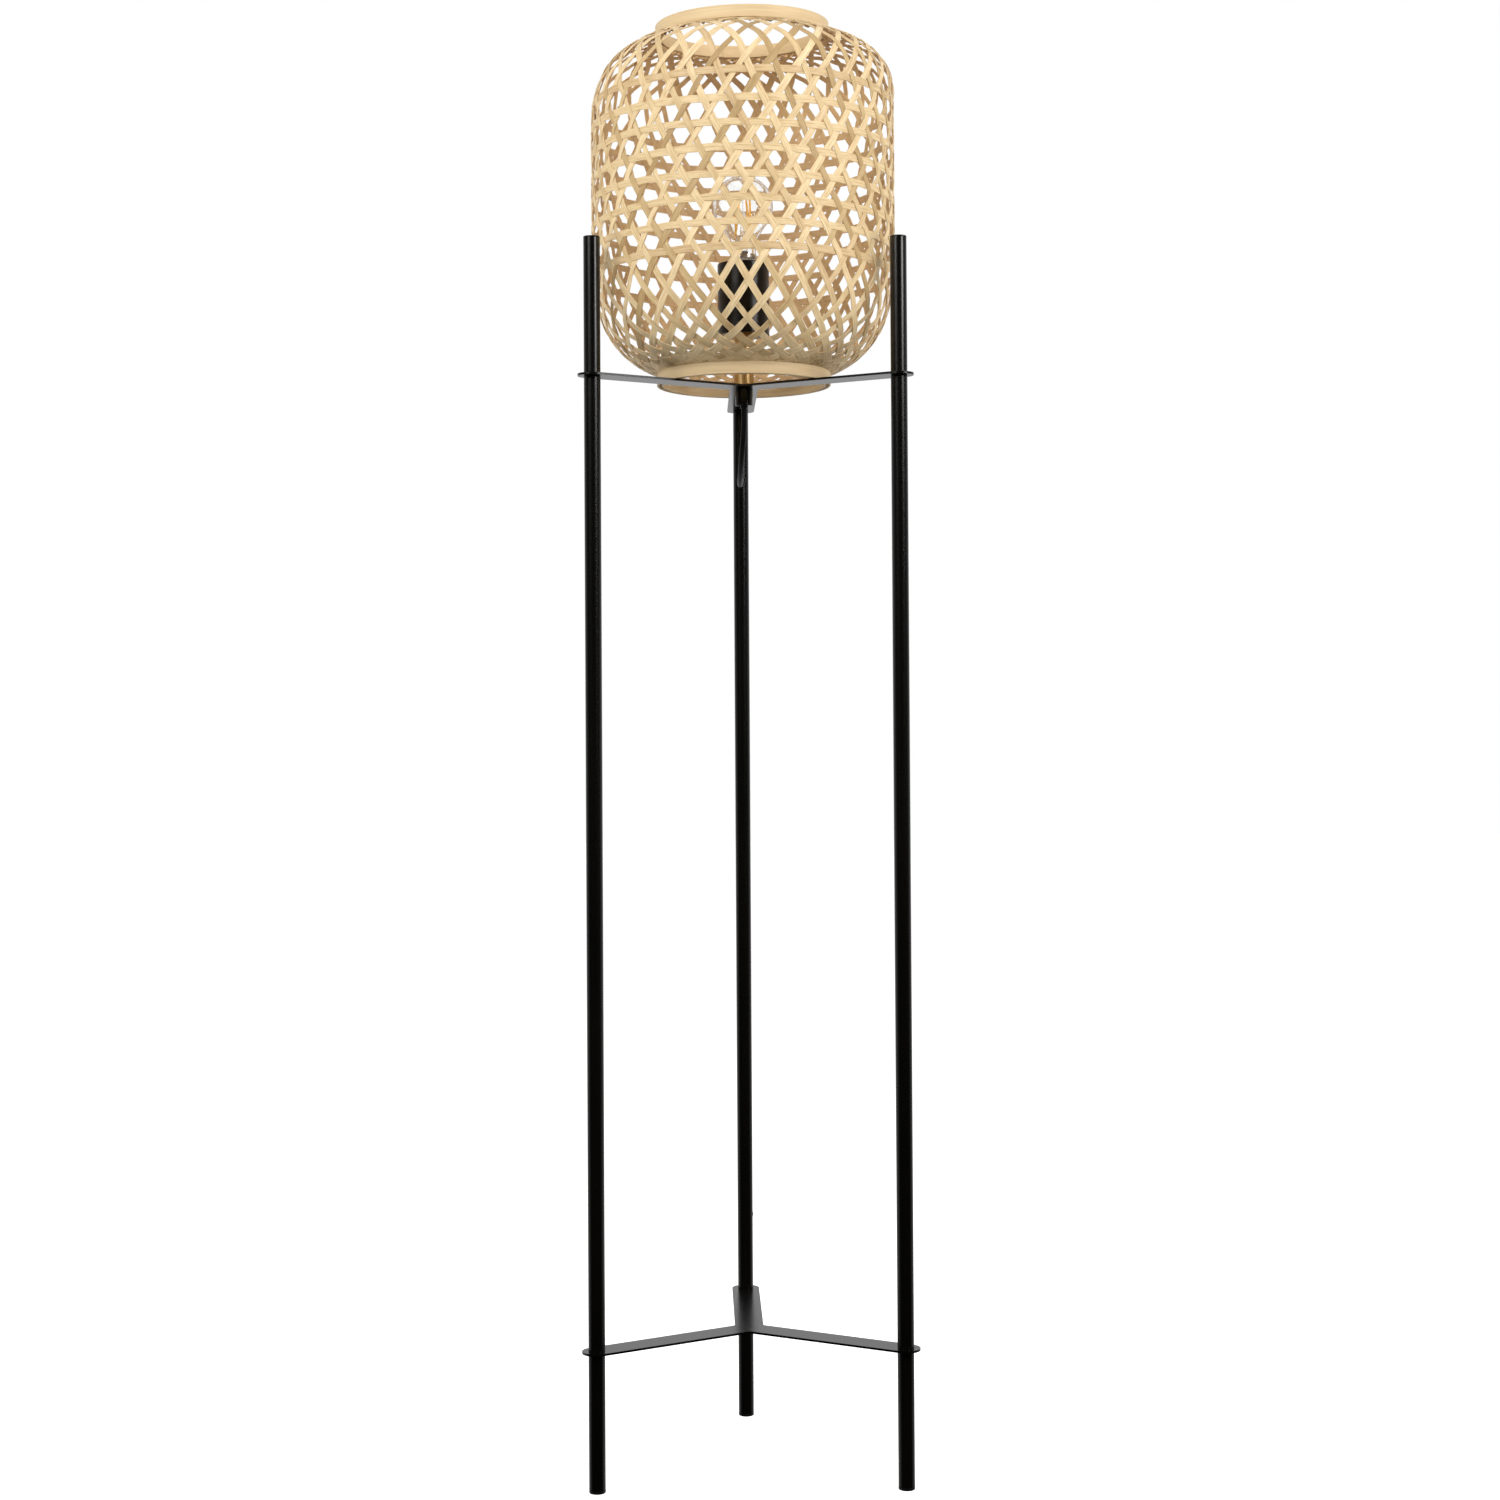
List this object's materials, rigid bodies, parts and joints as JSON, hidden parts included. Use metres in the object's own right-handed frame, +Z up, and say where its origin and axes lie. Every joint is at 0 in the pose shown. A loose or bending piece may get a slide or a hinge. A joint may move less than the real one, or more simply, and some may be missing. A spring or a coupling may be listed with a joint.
{
  "type": "floor lamp",
  "caption": "Tripod floor lamp: slim black steel legs joined by two Y-shaped plates carry a woven bamboo lantern shade around a bare bulb; the lead runs down inside the rear leg.",
  "frame": {"origin": "on the lamp's axis, at floor level, at the centre of the circle of the three legs", "axes": "+Z up; +Y towards the rear leg; +X to the right as seen from in front, where the two front legs stand"},
  "size_m": [0.3228, 0.4578, 1.4302],
  "materials": {
    "black_coat": "satin black powder coat",
    "black_plastic": "fine matt moulding",
    "zinc_steel": "zinc plated",
    "white_ceramic": "glazed",
    "brass": "plain",
    "nickel": "nickel plated, satin",
    "clear_glass": "clear, polished",
    "black_glass": "glossy",
    "filament_coat": "phosphor coating, amber",
    "bamboo_strip": "split bamboo, lightly varnished",
    "bamboo_hoop": "bent bamboo, lightly varnished",
    "cord_sheath": "smooth matt sheath",
    "tie_fabric": "hook-and-loop tape"
  },
  "bodies": {
    "stand": {"cap_bushing": "black_plastic", "centre_contact": "brass", "cord_hank": "cord_sheath", "cord_in_leg": "cord_sheath", "cord_in_pipe": "cord_sheath", "cord_to_hank": "cord_sheath", "cord_to_leg": "cord_sheath", "cord_to_plug": "cord_sheath", "cord_to_switch": "cord_sheath", "entry_grommet": "black_plastic", "foot_pads": "black_plastic", "hank_tie": "tie_fabric", "holder_body": "white_ceramic", "holder_cover": "black_coat", "holder_nut": "zinc_steel", "lamp_pipe": "zinc_steel", "left_foot_tube": "black_coat", "left_lower_leg": "black_coat", "left_top_post": "black_coat", "left_upper_leg": "black_coat", "lower_plate": "black_coat", "mid_leg_studs": "zinc_steel", "outlet_relief": "black_plastic", "pipe_nut": "zinc_steel", "plate_studs": "zinc_steel", "plug_body": "black_plastic", "plug_pins": "nickel", "plug_relief": "black_plastic", "post_caps": "black_plastic", "rear_foot_tube": "black_coat", "rear_lower_leg": "black_coat", "rear_top_post": "black_coat", "rear_upper_leg": "black_coat", "right_foot_tube": "black_coat", "right_lower_leg": "black_coat", "right_top_post": "black_coat", "right_upper_leg": "black_coat", "screw_shell": "brass", "spacer_sleeve": "brass", "switch_back": "black_plastic", "switch_front": "black_plastic", "switch_screws": "zinc_steel", "terminal_screws": "zinc_steel", "tube_inserts": "zinc_steel", "under_plate_cap": "black_coat", "upper_plate": "black_coat", "wire_terminals": "brass"},
    "shade": {"shade_weave": "bamboo_strip", "top_outer_hoop": "bamboo_hoop", "top_inner_hoop": "bamboo_hoop", "bottom_outer_hoop": "bamboo_hoop", "bottom_inner_hoop": "bamboo_hoop"},
    "bulb": {"bulb_glass": "clear_glass", "bulb_cap": "nickel", "bulb_insulator": "black_glass", "bulb_contact": "brass", "bulb_stem": "clear_glass", "bulb_wires": "zinc_steel", "bulb_filaments": "filament_coat"},
    "rocker": {"switch_rocker": "black_plastic"}
  },
  "joints": [
    {"name": "shade_lift", "type": "slide", "parent": "stand", "child": "shade", "axis": [0, 0, 1], "range_m": [0, 0.36]},
    {"name": "bulb_turn", "type": "hinge", "parent": "stand", "child": "bulb", "pos_m": [0, 0, 1.185], "axis": [0, 0, 1], "continuous": true},
    {"name": "switch_press", "type": "hinge", "parent": "stand", "child": "rocker", "pos_m": [0.0046, 0.209, 0.196], "axis": [0, 1, 0], "range_deg": [-16, 0]}
  ]
}
